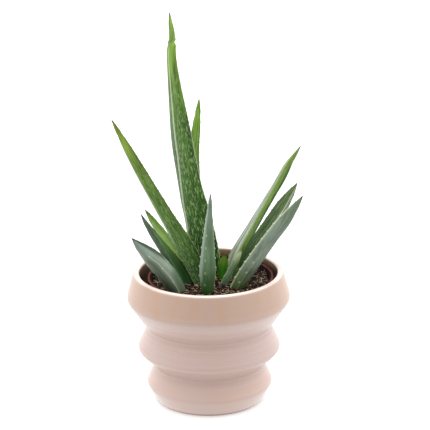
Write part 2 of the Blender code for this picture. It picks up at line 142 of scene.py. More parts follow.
# path runs from the stem to the tip, and widths are evenly spaced along it. faces are (share of the length,
# direction that the upper side looks in). channel is how deep the upper side is hollowed, as a share of the
# width, and teeth the size of the teeth as a share of TOOTH_HEIGHT.
LEAVES = {
    "leaf_tall": dict(
        path=[(0.000, 0.010, 0.104), (-0.0066, 0.017, 0.165), (-0.0134, 0.0187, 0.199),
              (-0.0183, 0.020, 0.233), (-0.0276, 0.023, 0.301), (-0.0309, 0.0253, 0.335),
              (-0.0296, 0.0262, 0.351), (-0.033, 0.028, 0.376)],
        widths=[0.0285, 0.0303, 0.0310, 0.0303, 0.0292, 0.0278, 0.0262, 0.0256, 0.0252, 0.0237, 0.0206,
                0.0171, 0.0139, 0.0113, 0.0096, 0.0060, 0.0],
        faces=[(0.00, (0.10, -1.0, 0.0)), (0.25, (0.60, -0.80, 0.0)), (0.50, (0.80, -0.60, 0.0)),
               (0.88, (0.75, -0.65, 0.0)), (0.905, (0.80, 0.50, 0.0))],
        channel=0.13, teeth=0.5),
    "leaf_back": dict(
        path=[(-0.006, 0.030, 0.104), (-0.010, 0.032, 0.160), (-0.0125, 0.035, 0.225),
              (-0.0065, 0.038, 0.289)],
        widths=[0.0130, 0.0143, 0.0150, 0.0140, 0.0130, 0.0116, 0.0094, 0.0072, 0.0],
        faces=[(0.0, (-0.2, -1.0, 0.1))], channel=0.16, teeth=0.4),
    "leaf_left_long": dict(
        path=[(0.001, -0.008, 0.104), (-0.0180, -0.002, 0.147), (-0.043, 0.010, 0.189),
              (-0.0664, 0.021, 0.229), (-0.090, 0.030, 0.272)],
        widths=[0.0140, 0.0188, 0.0190, 0.0150, 0.0130, 0.0112, 0.0078, 0.0],
        faces=[(0.0, (0.5, -0.75, 0.4)), (1.0, (0.4, -0.8, 0.5))], channel=0.14, teeth=0.5),
    "leaf_left_pale": dict(
        path=[(-0.017, 0.016, 0.104), (-0.026, 0.019, 0.130), (-0.0415, 0.023, 0.156),
              (-0.060, 0.026, 0.183)],
        widths=[0.0130, 0.0145, 0.0140, 0.0115, 0.0078, 0.0],
        faces=[(0.0, (0.5, -0.6, 0.6))], channel=0.14, teeth=0.6),
    "leaf_left_mid": dict(
        path=[(-0.0145, -0.015, 0.104), (-0.0268, -0.008, 0.134), (-0.044, -0.007, 0.1617),
              (-0.063, -0.012, 0.192)],
        widths=[0.0150, 0.0185, 0.0155, 0.0122, 0.0084, 0.0],
        faces=[(0.0, (0.6, -0.65, 0.45)), (1.0, (0.8, 0.2, 0.5))], channel=0.16),
    "leaf_left_low": dict(
        path=[(-0.0240, -0.020, 0.104), (-0.0368, -0.024, 0.131), (-0.0550, -0.031, 0.1571),
              (-0.071, -0.042, 0.178)],
        widths=[0.0150, 0.0170, 0.0178, 0.0175, 0.0124, 0.0],
        faces=[(0.0, (-0.08, 0.97, 0.15)), (0.6, (-0.25, 0.92, 0.25)), (1.0, (0.25, 0.78, 0.6))],
        channel=0.18, teeth=0.4),
    "leaf_front": dict(
        path=[(-0.001, -0.027, 0.104), (-0.001, -0.029, 0.1318), (0.0005, -0.032, 0.1717),
              (0.003, -0.038, 0.219)],
        widths=[0.0080, 0.0100, 0.0138, 0.0156, 0.0142, 0.0124, 0.0105, 0.0084, 0.0060, 0.0031, 0.0],
        faces=[(0.0, (0.15, 1.0, 0.2))], channel=0.16, teeth=0.7),
    "leaf_bud": dict(
        path=[(0.0115, 0.001, 0.106), (0.013, 0.002, 0.122), (0.016, 0.004, 0.145)],
        widths=[0.0064, 0.0078, 0.0084, 0.0082, 0.0072, 0.0],
        faces=[(0.0, (0.0, -1.0, 0.2))], channel=0.14, teeth=0.5),
    "leaf_right_long": dict(
        path=[(0.017, 0.012, 0.104), (0.0225, 0.013, 0.137), (0.0415, 0.016, 0.172),
              (0.0625, 0.019, 0.208), (0.0744, 0.021, 0.229), (0.0895, 0.024, 0.246)],
        widths=[0.0180, 0.0187, 0.0167, 0.0145, 0.0130, 0.0120, 0.0],
        faces=[(0.0, (-0.85, -0.3, 0.4)), (0.5, (-0.9, -0.05, 0.45)), (1.0, (-0.9, 0.2, 0.4))],
        channel=0.15, teeth=0.5),
    "leaf_front_small": dict(
        path=[(0.0115, -0.004, 0.106), (0.0155, -0.005, 0.122), (0.0235, -0.006, 0.138),
              (0.032, -0.008, 0.154)],
        widths=[0.0085, 0.0090, 0.0080, 0.0060, 0.0],
        faces=[(0.0, (-0.6, 0.5, 0.6))], channel=0.16),
    "leaf_right_mid": dict(
        path=[(0.027, 0.022, 0.104), (0.036, 0.022, 0.131), (0.0591, 0.024, 0.168),
              (0.086, 0.025, 0.208)],
        widths=[0.0150, 0.0165, 0.0160, 0.0145, 0.0126, 0.0],
        faces=[(0.0, (-0.5, -0.6, 0.6))], channel=0.14),
    "leaf_right_front": dict(
        path=[(0.020, -0.012, 0.104), (0.036, -0.018, 0.136), (0.062, -0.028, 0.178),
              (0.089, -0.035, 0.215)],
        widths=[0.0140, 0.0165, 0.0165, 0.0153, 0.0130, 0.0],
        faces=[(0.0, (-0.5, 0.8, 0.3))], channel=0.16),
}

# Colours are 8-bit sRGB. upper and lower give each side's colour at the base, the middle and the tip, and the
# dark base colours hold painted shade, where the leaves crowd and shade one another near the soil.
# flecks, veins and bloom are (upper side, lower side), from 0 to 1. fade is the share of the length at which
# the flecks end, and grain how close together they are. fleck and film colour the flecks and the waxy bloom.
# margin is the pale edge's colour and amount, tooth how pale the teeth are, and point the colour and length
# of the dry tip. lines are tinted bands: side, across, half width, colour, amount, from share, to share.
# rows are rows of pale spots on the lower side: across, first and spacing in metres, last share.
BASIC_LOOK = dict(
    flecks=(0.05, 0.05), veins=(0.25, 0.20), bloom=(0.0, 0.1), fade=1.2, grain=1.0,
    fleck=(170, 190, 140), film=(170, 185, 175), margin=((205, 215, 180), 0.6), tooth=0.6, lines=[], rows=[],
    point=((90, 70, 45), 0.005))
LOOKS = {
    "leaf_tall": dict(
        upper=((26, 72, 8), (66, 104, 34), (128, 164, 58)),
        lower=((80, 118, 60), (70, 104, 59), (130, 163, 75)),
        flecks=(0.85, 0.4), veins=(0.50, 0.35), bloom=(0.0, 0.0), fade=0.80, grain=1.15,
        fleck=(156, 186, 120),
        lines=[("upper", -1.0, 0.09, (210, 220, 190), 0.8, 0.20, 0.86),
               ("upper", 0.0, 1.2, (176, 206, 120), 0.5, 0.93, 1.0),
               ("lower", -1.0, 0.06, (210, 220, 190), 0.7, 0.20, 0.86),
               ("upper", 1.0, 0.07, (185, 205, 155), 0.7, 0.15, 0.60)],
        tooth=0.3),
    "leaf_back": dict(
        upper=((90, 130, 38), (144, 182, 94), (124, 167, 52)),
        lower=((100, 140, 55), (120, 158, 66), (126, 164, 62)),
        flecks=(0.7, 0.3), veins=(0.35, 0.25), bloom=(0.0, 0.0), fleck=(178, 204, 130), tooth=0.3),
    "leaf_left_long": dict(
        upper=((18, 60, 5), (85, 119, 47), (130, 152, 58)),
        lower=((95, 125, 80), (120, 145, 105), (130, 155, 90)),
        flecks=(0.50, 0.3), veins=(0.50, 0.20), bloom=(0.0, 0.2), fade=0.85, grain=1.30,
        fleck=(150, 176, 118),
        # the grey band on one edge is waxy bloom with a painted highlight
        lines=[("upper", -1.0, 0.34, (165, 180, 162), 0.60, 0.34, 0.85),
               ("upper", 1.0, 0.14, (104, 84, 42), 0.65, 0.30, 0.95)],
        margin=((205, 215, 180), 0.3), tooth=0.3),
    "leaf_left_pale": dict(
        # painted light: the upper colours are lighter than the leaf's own, for light that falls on it
        upper=((182, 224, 116), (190, 221, 131), (132, 172, 65)),
        lower=((130, 165, 80), (150, 180, 95), (68, 95, 54)),
        flecks=(0.15, 0.1), veins=(0.20, 0.20), bloom=(0.0, 0.0),
        lines=[("upper", 1.0, 0.20, (175, 190, 120), 0.5, 0.0, 0.6)],
        point=((60, 85, 40), 0.009), tooth=0.3),
    "leaf_left_mid": dict(
        upper=((56, 112, 56), (94, 128, 74), (40, 60, 22)),
        lower=((66, 96, 60), (64, 92, 62), (86, 110, 87)),
        margin=((120, 142, 105), 0.3),
        lines=[("upper", 1.0, 0.5, (92, 66, 44), 0.6, 0.72, 1.0),
               ("upper", -0.25, 0.10, (120, 140, 122), 0.6, 0.05, 0.42),
               # painted shade: a dark band where the neighbouring leaves shade this one
               ("upper", 0.30, 0.45, (28, 84, 44), 0.4, 0.0, 0.50)],
        point=((70, 55, 38), 0.008), tooth=0.0),
    "leaf_left_low": dict(
        upper=((40, 68, 40), (58, 85, 52), (62, 82, 52)),
        lower=((104, 120, 90), (134, 150, 130), (112, 128, 118)),
        veins=(0.24, 0.20), bloom=(0.0, 0.2), margin=((120, 138, 104), 0.3),
        # painted shade over one half of the lower side
        lines=[("lower", 0.42, 0.74, (66, 84, 60), 0.7, 0.0, 0.72),
               # painted highlight along the keel
               ("lower", -0.28, 0.06, (215, 224, 195), 0.6, 0.0, 0.75),
               # painted shade along the edge near the tip
               ("lower", -1.0, 0.28, (40, 60, 36), 0.9, 0.55, 0.98),
               # painted shade near the base
               ("lower", -0.9, 0.60, (62, 88, 62), 0.6, 0.0, 0.40)],
        rows=[(-0.0022, 0.010, 0.019, 0.9)],
        point=((60, 62, 44), 0.005), tooth=0.0),
    "leaf_front": dict(
        upper=((45, 80, 42), (65, 95, 58), (80, 110, 68)),
        lower=((40, 100, 21), (99, 129, 93), (130, 144, 131)),
        flecks=(0.08, 0.1), veins=(0.25, 0.22),
        # painted highlight along one edge
        lines=[("lower", 0.85, 0.50, (172, 186, 174), 0.75, 0.22, 0.95),
               # painted shade along the other side
               ("lower", -0.65, 0.4, (74, 100, 66), 0.5, 0.15, 0.95)],
        rows=[(0.0012, 0.024, 0.0125, 0.66)], margin=((205, 215, 180), 0.5), tooth=0.4),
    "leaf_bud": dict(
        upper=((40, 135, 14), (52, 112, 17), (118, 158, 56)),
        lower=((40, 135, 14), (52, 112, 17), (118, 158, 56)),
        veins=(0.35, 0.35), bloom=(0.0, 0.0), margin=((110, 150, 60), 0.3), tooth=0.2),
    "leaf_right_long": dict(
        # the grey-white upper side is waxy bloom with a painted reflection of the white studio
        upper=((172, 180, 158), (172, 180, 168), (84, 114, 40)),
        lower=((74, 98, 50), (116, 150, 62), (118, 147, 62)),
        flecks=(0.15, 0.3), veins=(0.30, 0.30), bloom=(0.25, 0.0),
        # painted shade: two dark bands down the middle of the lower side
        lines=[("lower", -0.42, 0.34, (34, 84, 12), 0.85, 0.15, 0.88),
               ("lower", 0.45, 0.34, (34, 84, 12), 0.85, 0.15, 0.88),
               ("upper", -0.55, 0.12, (84, 104, 78), 0.6, 0.10, 0.80),
               # painted highlights: pale bands at both edges of the lower side
               ("lower", -1.0, 0.30, (184, 206, 142), 0.7, 0.15, 0.95),
               ("lower", 1.0, 0.12, (190, 208, 150), 0.6, 0.15, 0.95)],
        margin=((200, 212, 180), 0.6)),
    "leaf_front_small": dict(
        upper=((62, 95, 50), (92, 132, 58), (234, 240, 178)),
        lower=((28, 80, 40), (132, 166, 120), (224, 240, 180)),
        flecks=(0.1, 0.15), veins=(0.22, 0.20)),
    "leaf_right_mid": dict(
        upper=((64, 98, 68), (101, 124, 90), (126, 146, 97)),
        lower=((45, 72, 38), (62, 90, 52), (42, 58, 31)),
        flecks=(0.4, 0.1), veins=(0.40, 0.2), fleck=(146, 166, 128),
        lines=[("upper", 0.62, 0.15, (215, 225, 195), 0.9, 0.25, 0.94),
               ("upper", 1.0, 0.30, (60, 84, 46), 0.8, 0.25, 0.94),
               ("upper", -1.0, 0.3, (136, 152, 126), 0.5, 0.3, 0.95)]),
    "leaf_right_front": dict(
        upper=((55, 88, 52), (75, 105, 72), (95, 122, 88)),
        lower=((70, 98, 33), (128, 144, 128), (92, 110, 80)),
        flecks=(0.08, 0.15), veins=(0.25, 0.28), bloom=(0.0, 0.15),
        lines=[("lower", 0.98, 0.05, (200, 210, 175), 0.5, 0.05, 0.9),
               ("lower", 0.55, 0.10, (165, 182, 150), 0.3, 0.0, 0.5),
               ("lower", -0.6, 0.5, (70, 94, 66), 0.4, 0.1, 0.95)],
        rows=[(0.0052, 0.012, 0.013, 0.45)]),
}

# Leaf patterns as repeats per metre (across, along), the fade at a band's ends and a row's sideways play
STREAKS = (900.0, 34.0)
BLOTCHES = (130.0, 45.0)
FLECKS = (600.0, 125.0)
FLECK_WARP = (300.0, 40.0)
SPOTS = (1500.0, 620.0)
LINE_FADE = 0.06
ROW_WANDER = 0.0024

# Studio: light levels in front, behind, overhead and from below, as shares of white, and the share that is
# left of the light straight from the camera's side
STUDIO_FRONT = 0.92
STUDIO_BACK = 1.55
STUDIO_TOP = 1.05
STUDIO_BELOW = 0.92
STUDIO_DARKEST = 0.68
WHITE = (1.0, 1.0, 1.0, 1.0)
FLOOR_SIZE = 6.0
FLOOR_SHADE = 0.86
FLOOR_GLOW = 0.35

# Camera: the turn is how far it looks down, to the right and rolls
CAMERA_PLACE = (0.0, -2.21068, 0.932865)
CAMERA_TURN = (radians(18.6938), radians(0.1814), radians(0.692))
CAMERA_LENS = 206.642
CAMERA_SENSOR = 36.0
CAMERA_REACH = 50.0


def linear(color):
    """Linear colour from an 8-bit sRGB one, with alpha."""
    parts = [c / 255 for c in color]
    return (*[c / 12.92 if c <= 0.04045 else ((c + 0.055) / 1.055) ** 2.4 for c in parts], 1.0)


class Tree:
    """A material's or a world's nodes. Every method that adds a node gives back the output socket."""

    def __init__(self, name, kind="materials"):
        self.owner = getattr(bpy.data, kind).new(name)
        self.owner.use_nodes = True
        self.tree = self.owner.node_tree
        self.shader = self.tree.nodes.get("Principled BSDF")

    def put(self, value, socket):
        if isinstance(value, bpy.types.NodeSocket):
            self.tree.links.new(value, socket)
        else:
            socket.default_value = value

    def node(self, kind, inputs, output=0, **settings):
        made = self.tree.nodes.new(kind)
        for key, value in settings.items():
            setattr(made, key, value)
        for key, value in inputs.items():
            self.put(value, made.inputs[key])
        return made.outputs[output]

    def math(self, operation, first, second=0.0):
        return self.node("ShaderNodeMath", {0: first, 1: second}, operation=operation)

    def plus(self, first, second):
        return self.math("ADD", first, second)

    def minus(self, first, second):
        return self.math("SUBTRACT", first, second)

    def times(self, first, second):
        return self.math("MULTIPLY", first, second)

    def mix(self, share, first, second, blend="MIX"):
        """Two colours mixed, each an output socket or an 8-bit sRGB triple."""
        first, second = [linear(color) if isinstance(color, tuple) else color for color in (first, second)]
        return self.node("ShaderNodeMix", {0: share, 6: first, 7: second}, 2, data_type="RGBA",
                         blend_type=blend)

    def ramp(self, value, low, high, out_low=0.0, out_high=1.0):
        """A smooth step from low to high."""
        return self.node("ShaderNodeMapRange", {0: value, 1: low, 2: high, 3: out_low, 4: out_high},
                         interpolation_type="SMOOTHSTEP")

    def parts(self, vector):
        """The x, y and z of a vector."""
        split = self.tree.nodes.new("ShaderNodeSeparateXYZ")
        self.put(vector, split.inputs[0])
        return split.outputs

    def attribute(self, name):
        return self.parts(self.node("ShaderNodeAttribute", {}, "Vector", attribute_name=name))

    def position(self):
        return self.node("ShaderNodeTexCoord", {}, "Object")

    def vector(self, x=0.0, y=0.0, z=0.0):
        return self.node("ShaderNodeCombineXYZ", {0: x, 1: y, 2: z})

    def scaled(self, vector, x, y, z):
        return self.node("ShaderNodeVectorMath", {0: vector, 1: (x, y, z)}, operation="MULTIPLY")

    def noise(self, vector, scale=1.0, detail=2.0, rough=0.5):
        return self.node("ShaderNodeTexNoise", {"Vector": vector, "Scale": scale, "Detail": detail,
                                                "Roughness": rough}, "Fac")

    def cells(self, vector, scale=1.0, flat=False):
        """Distance to the nearest cell centre, and that cell's random colour."""
        made = self.tree.nodes.new("ShaderNodeTexVoronoi")
        made.voronoi_dimensions = "2D" if flat else "3D"
        self.put(vector, made.inputs["Vector"])
        self.put(scale, made.inputs["Scale"])
        return made.outputs["Distance"], made.outputs["Color"]

    def red(self, color):
        return self.node("ShaderNodeSeparateColor", {0: color})

    def bump(self, height, strength, distance):
        normal = self.node("ShaderNodeBump", {"Height": height, "Strength": strength, "Distance": distance})
        self.put(normal, self.shader.inputs["Normal"])

    def finish(self, color, roughness, specular):
        """Set the shader, and give back the finished material."""
        for key, value in (("Base Color", color), ("Roughness", roughness), ("Specular IOR Level", specular),
                           ("IOR", 1.5)):
            self.put(value, self.shader.inputs[key])
        return self.owner


def new_object(name, data):
    made = bpy.data.objects.new(name, data)
    bpy.context.scene.collection.objects.link(made)
    return made


def piece(name, mesh_data, finish, replaced=None):
    """A new object of the part, riding on its one body."""
    thing = new_object(name, mesh_data)
    mesh_data.materials.append(finish)
    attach(thing, BODY)
    if replaced:
        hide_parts(replaced)
    return thing


def circle(centre, radius, count, shift=0.0):
    """Evenly spaced (x, y) places round a centre. shift turns them by that share of a step."""
    angles = [2 * pi * (k + shift) / count for k in range(count)]
    return [(centre[0] + radius * cos(angle), centre[1] + radius * sin(angle)) for angle in angles]


def skin(bm, rings):
    """Faces from each ring of points to the next, and over an end that is more than one point."""
    for lower, upper in zip(rings, rings[1:]):
        count = max(len(lower), len(upper))
        for k in range(count):
            n = (k + 1) % count
            if len(lower) == 1:
                bm.faces.new((lower[0], upper[k], upper[n]))
            elif len(upper) == 1:
                bm.faces.new((lower[k], lower[n], upper[0]))
            else:
                bm.faces.new((lower[k], lower[n], upper[n], upper[k]))
    for end in (rings[0], rings[-1]):
        if len(end) > 1:
            bm.faces.new(end)


def finished_mesh(name, bm, sharp=40):
    """A mesh with smooth faces, but for edges sharper than the given degrees."""
    bmesh.ops.recalc_face_normals(bm, faces=bm.faces)
    made = bpy.data.meshes.new(name)
    bm.to_mesh(made)
    bm.free()
    made.shade_smooth()
    made.set_sharp_from_angle(angle=radians(sharp))
    return made


# Turned pieces

def rounded(corners):
    """Replace each (radius, height, fillet) corner of an open outline by an arc."""
    outline = []
    for index, (x, z, fillet) in enumerate(corners):
        if fillet == 0.0 or index in (0, len(corners) - 1):
            outline.append((x, z))
            continue
        corner = Vector((x, z))
        before = (Vector(corners[index - 1][:2]) - corner).normalized()
        after = (Vector(corners[index + 1][:2]) - corner).normalized()
        half = before.angle(after) / 2
        centre = corner + (before + after).normalized() * fillet / sin(half)
        first = corner + before * fillet / tan(half) - centre
        last = corner + after * fillet / tan(half) - centre
        start = atan2(first.y, first.x)
        turn = (atan2(last.y, last.x) - start + pi) % (2 * pi) - pi
        steps = max(2, ceil(abs(turn) / ARC_STEP))
        for k in range(steps + 1):
            angle = start + turn * k / steps
            outline.append((centre.x + fillet * cos(angle), centre.y + fillet * sin(angle)))
    return outline


def divided(outline):
    """Add points so that no stretch of an outline is longer than OUTLINE_STEP."""
    points = [outline[0]]
    for start, end in zip(outline, outline[1:]):
        steps = max(1, ceil(hypot(end[0] - start[0], end[1] - start[1]) / OUTLINE_STEP))
        for k in range(1, steps + 1):
            points.append((start[0] + (end[0] - start[0]) * k / steps,
                           start[1] + (end[1] - start[1]) * k / steps))
    return points


def turned(name, outline, segments, centre=(0.0, 0.0)):
    """Spin an outline of (radius, height) points about the vertical axis. Its ends lie on the axis."""
    bm = bmesh.new()
    rings = []
    for radius, height in outline:
        places = [centre] if radius < 1e-6 else circle(centre, radius, segments)
        rings.append([bm.verts.new((*place, height)) for place in places])
    skin(bm, rings)
    return finished_mesh(name, bm)


def glaze_material():
    """Satin glaze: soft blotches, faint level streaks from the wheel, fine specks."""
    t = Tree("glaze")
    place = t.position()
    height = t.parts(place)[2]
    blotch = t.noise(place, 22.0, 3.0)
    streak = t.noise(t.scaled(place, 6.0, 6.0, 420.0), 1.0, 3.0, 0.6)
    broad = t.noise(t.scaled(place, 4.0, 4.0, 60.0))
    speck = t.noise(place, 900.0)
    color = t.mix(t.ramp(blotch, 0.35, 0.65), (212, 186, 176), (214, 184, 171))
    color = t.mix(t.ramp(broad, 0.35, 0.7, 0.0, 0.5), color, (204, 182, 177))
    color = t.mix(t.ramp(streak, 0.45, 0.75, 0.0, 0.22), color, (230, 208, 197))

    # Warmer top wave, with drips
    top = t.ramp(height, *GLAZE_WARM, 0.0, 0.85)
    color = t.mix(top, color, (196, 164, 144))
    drips = t.noise(t.scaled(place, 70.0, 70.0, 9.0))
    color = t.mix(t.times(top, t.ramp(drips, 0.48, 0.72, 0.0, 0.45)), color, (206, 158, 120))
    color = t.mix(t.times(top, t.ramp(drips, 0.48, 0.25, 0.0, 0.45)), color, (196, 170, 160))
    color = t.mix(t.ramp(speck, 0.66, 0.74, 0.0, 0.25), color, (170, 135, 115))
    t.bump(t.plus(t.times(streak, 0.6), t.times(speck, 0.15)), 0.12, 0.0004)

    # Painted shade in the grooves and on the inner wall, a painted contact shadow at the foot, and a painted
    # highlight on the lip
    for groove in (POT_VALLEY_LOW[1], POT_VALLEY_HIGH[1]):
        gap = t.math("ABSOLUTE", t.minus(height, groove))
        color = t.mix(t.ramp(gap, 0.0, GROOVE_SHADE, 0.18, 0.0), color, (176, 150, 138))
    # Painted shade on the inner wall, fading out below the lip
    outward = t.node("ShaderNodeVectorMath",
                     {0: t.scaled(place, 1.0, 1.0, 0.0), 1: t.node("ShaderNodeNewGeometry", {}, "Normal")},
                     "Value", operation="DOT_PRODUCT")
    inner = t.times(t.ramp(outward, -0.02, 0.0, 1.0, 0.0), t.ramp(height, *GLAZE_INSIDE_SHADE, 0.55, 0.0))
    color = t.mix(inner, color, (96, 66, 48))
    # Painted contact shadow: the glaze darkens at the foot, where the pot meets the floor
    color = t.mix(t.ramp(height, *GLAZE_FOOT_SHADOW, 0.85, 0.0), color, (112, 74, 62))
    # Painted highlight: the lip is lightened to near white
    color = t.mix(t.ramp(height, *GLAZE_LIP_HIGHLIGHT, 0.0, 0.75), color, (244, 230, 222))
    return t.finish(color, t.ramp(broad, 0.3, 0.7, 0.20, 0.30), 0.6)


def build_ceramic_pot():
    waves = [POT_RIDGE_LOW, POT_VALLEY_LOW, POT_RIDGE_MID, POT_VALLEY_HIGH, POT_RIDGE_HIGH]
    inner_waves = [(r - POT_WALL, z, fillet) for r, z, fillet in reversed(waves)]
    inner_foot = (POT_FOOT[0] - POT_WALL, POT_FLOOR, POT_FOOT[2])
    corners = [(0.0, 0.0, 0.0), POT_FOOT, *waves, POT_LIP_OUTER, POT_LIP_INNER, *inner_waves, inner_foot,
               (0.0, POT_FLOOR, 0.0)]
    mesh_data = turned("ceramic_pot_fine", divided(rounded(corners)), POT_SEGMENTS)
    piece("ceramic_pot_fine", mesh_data, glaze_material(), "ceramic_pot")


def nursery_radius(height):
    share = (height - NURSERY_BASE) / NURSERY_HEIGHT
    return NURSERY_FOOT_RADIUS + share * (NURSERY_TOP_RADIUS - NURSERY_FOOT_RADIUS)


def plastic_material():
    """Red-brown moulded plastic with dust and splashes of soil, and painted shade on its inner wall."""
    t = Tree("nursery_plastic")
    place = t.position()
    dust = t.noise(place, 260.0, 4.0, 0.65)
    x, y, _ = t.parts(place)
    squares = t.plus(t.math("POWER", t.minus(x, NURSERY_CENTRE[0]), 2.0), t.math("POWER", y, 2.0))
    painted_shade_inside = t.ramp(t.math("POWER", squares, 0.5), *NURSERY_INSIDE_SHADE, 1.0, 0.0)
    color = t.mix(t.ramp(dust, 0.4, 0.7), (92, 32, 24), (128, 56, 44))
    # Painted shade on the inner wall of the nursery pot
    color = t.mix(painted_shade_inside, color, (36, 20, 16))
    grit = t.noise(place, 1400.0)
    color = t.mix(t.ramp(grit, 0.56, 0.64, 0.0, 0.8), color, (48, 28, 22))
    t.bump(dust, 0.2, 0.0004)
    rough = t.math("MAXIMUM", t.ramp(dust, 0.3, 0.7, 0.5, 0.7), painted_shade_inside)
    return t.finish(color, rough, 0.12)


def build_nursery_pot():
    top = NURSERY_BASE + NURSERY_HEIGHT
    under_rim = top - NURSERY_RIM_DEPTH
    floor = NURSERY_BASE + NURSERY_WALL
    outline = [(0.0, NURSERY_BASE),
               (NURSERY_FOOT_RADIUS, NURSERY_BASE),
               (nursery_radius(under_rim), under_rim),
               (NURSERY_RIM_RADIUS, under_rim),
               (NURSERY_RIM_RADIUS, top - NURSERY_WALL / 2),
               (NURSERY_RIM_RADIUS - NURSERY_WALL / 2, top),
               (NURSERY_TOP_RADIUS - NURSERY_WALL / 2, top),
               (NURSERY_TOP_RADIUS - NURSERY_WALL, top - NURSERY_WALL / 2),
               (nursery_radius(floor) - NURSERY_WALL, floor),
               (0.0, floor)]
    mesh_data = turned("nursery_pot_fine", outline, NURSERY_SEGMENTS, NURSERY_CENTRE)
    pot = piece("nursery_pot_fine", mesh_data, plastic_material(), "nursery_pot")
    bm = bmesh.new()
    for place in circle(NURSERY_CENTRE, DRAIN_CIRCLE, DRAIN_HOLES):
        centre = Vector((*place, NURSERY_BASE + NURSERY_WALL / 2))
        bmesh.ops.create_cone(bm, cap_ends=True, segments=32, radius1=DRAIN_RADIUS, radius2=DRAIN_RADIUS,
                              depth=4 * NURSERY_WALL, matrix=Matrix.Translation(centre))
    apply_cut(pot, new_object("drain_drill", finished_mesh("drain_drill", bm)))


def apply_cut(thing, cutter):
    """Take a cutter out of a piece for good, and remove the cutter."""
    difference = thing.modifiers.new("cut", "BOOLEAN")
    difference.operation = "DIFFERENCE"
    difference.solver = "EXACT"
    difference.object = cutter
    shape = bpy.data.meshes.new_from_object(thing.evaluated_get(bpy.context.evaluated_depsgraph_get()))
    thing.modifiers.clear()
    thing.data = shape
    bpy.data.objects.remove(cutter, do_unlink=True)


# Leaves

def spline(points, share):
    """Point of a smooth curve through evenly spaced points, for a share of the way from 0 to 1."""
    last = len(points) - 1
    index = min(int(share * last), last - 1)
    local = share * last - index
    start = points[index]
    end = points[index + 1]
    before = points[index - 1] if index > 0 else 2 * start - end
    after = points[index + 2] if index + 2 <= last else 2 * end - start
    return 0.5 * (2 * start + (end - before) * local
                  + (2 * before - 5 * start + 4 * end - after) * local ** 2
                  + (3 * start - before - 3 * end + after) * local ** 3)


class Leaf:
    """The smooth form of one leaf, read by distance along its path."""

    def __init__(self, path, widths, faces, channel, teeth=1.0):
        nodes = [Vector(point) for point in path]
        self.points = [spline(nodes, k / PATH_SAMPLES) for k in range(PATH_SAMPLES + 1)]
        self.lengths = [0.0]
        for start, end in zip(self.points, self.points[1:]):
            self.lengths.append(self.lengths[-1] + (end - start).length)
        self.length = self.lengths[-1]
        self.widths = widths
        self.faces = [(share, Vector(face)) for share, face in faces]
        self.channel = channel
        self.teeth = teeth

    def face(self, share):
        """Direction that the upper side looks in, turned evenly between the given ones."""
        below = [entry for entry in self.faces if entry[0] <= share]
        above = [entry for entry in self.faces if entry[0] > share]
        if not above:
            return self.faces[-1][1]
        start, first = below[-1]
        end, second = above[0]
        return first.lerp(second, (share - start) / (end - start))

    def frame(self, distance):
        """Centre, direction, upper normal and sideways axis at a distance from the base."""
        index = 0
        while index < PATH_SAMPLES - 1 and self.lengths[index + 1] < distance:
            index += 1
        start, end = self.points[index], self.points[index + 1]
        local = (distance - self.lengths[index]) / (self.lengths[index + 1] - self.lengths[index])
        centre = start.lerp(end, local)
        before = self.points[max(index - 1, 0)]
        after = self.points[min(index + 2, PATH_SAMPLES)]
        along = (after - before).normalized()
        face = self.face(distance / self.length)
        upper = (face - along * face.dot(along)).normalized()
        return centre, along, upper, along.cross(upper)

    def width(self, distance):
        """Width at a distance. The last stretch is fuller, so that the leaf ends in a blunt point."""
        ahead = min(max((self.length - distance) / TIP_REACH, 0.0), 1.0)
        fullness = 2 * TIP_FULLNESS * sqrt(ahead * (1 - ahead))
        return max(spline(self.widths, distance / self.length), 0.0) + fullness

    def section(self, distance, tooth=0.0):
        """Points round the leaf, each with its place across from 1 to -1 and its side (1 is the upper)."""
        centre, along, upper, side = self.frame(distance)
        share = distance / self.length
        width = self.width(distance)
        half = width / 2
        thickness = width * (THICKNESS_BASE + (THICKNESS_TIP - THICKNESS_BASE) * share)
        depth = width * self.channel
        lean = along * TOOTH_LEAN / TOOTH_HEIGHT

        def reach(place):
            """Distance from the middle line at a place across, and the part of it that is tooth."""
            grip = tooth * max(0.0, (abs(place) - TOOTH_ROOT) / TOOTH_ROOT_SPAN) ** TOOTH_ROOT_CURVE
            return half * place + (grip if place > 0 else -grip), grip

        ring = []
        for k in range(UPPER_POINTS + 1):
            place = cos(pi * k / UPPER_POINTS)
            out, grip = reach(place)
            point = centre + side * out - upper * depth * (1 - place ** 2) + lean * grip
            ring.append((point, place, 1.0 if 0 < k < UPPER_POINTS else 0.5))
        for k in range(1, LOWER_POINTS):
            place = -cos(pi * k / LOWER_POINTS)
            drop = (depth + thickness) * (1 - abs(place) ** KEEL_POWER) ** KEEL_FULLNESS
            out, grip = reach(place)
            ring.append((centre + side * out - upper * drop + lean * grip, place, 0.0))
        return ring


def soil_height(x, y):
    """Level of the soil at a place, from a slope and two sizes of relief."""
    level = SOIL_LEVEL + SOIL_SLOPE * y
    for size, height in (SOIL_COARSE, SOIL_FINE):
        level += height * noise.noise(Vector((x, y, size)) / size)
    return level


def clear_distance(leaf):
    """Distance from the leaf's lower end at which all of it is clear of the soil."""
    clear = 0.0
    while any(p.z < soil_height(p.x, p.y) + SOIL_CLEAR for p, _, _ in leaf.section(clear)):
        clear += 0.001
    return clear


def tooth_places(leaf):
    """Distances of the teeth from the leaf's lower end, evenly spaced."""
    first = clear_distance(leaf) + TOOTH_START
    last = leaf.length * TOOTH_LAST
    if last - first < TOOTH_SPACING:
        return [(first + last) / 2]
    count = round((last - first) / TOOTH_SPACING)
    return [first + (last - first) * k / count for k in range(count + 1)]


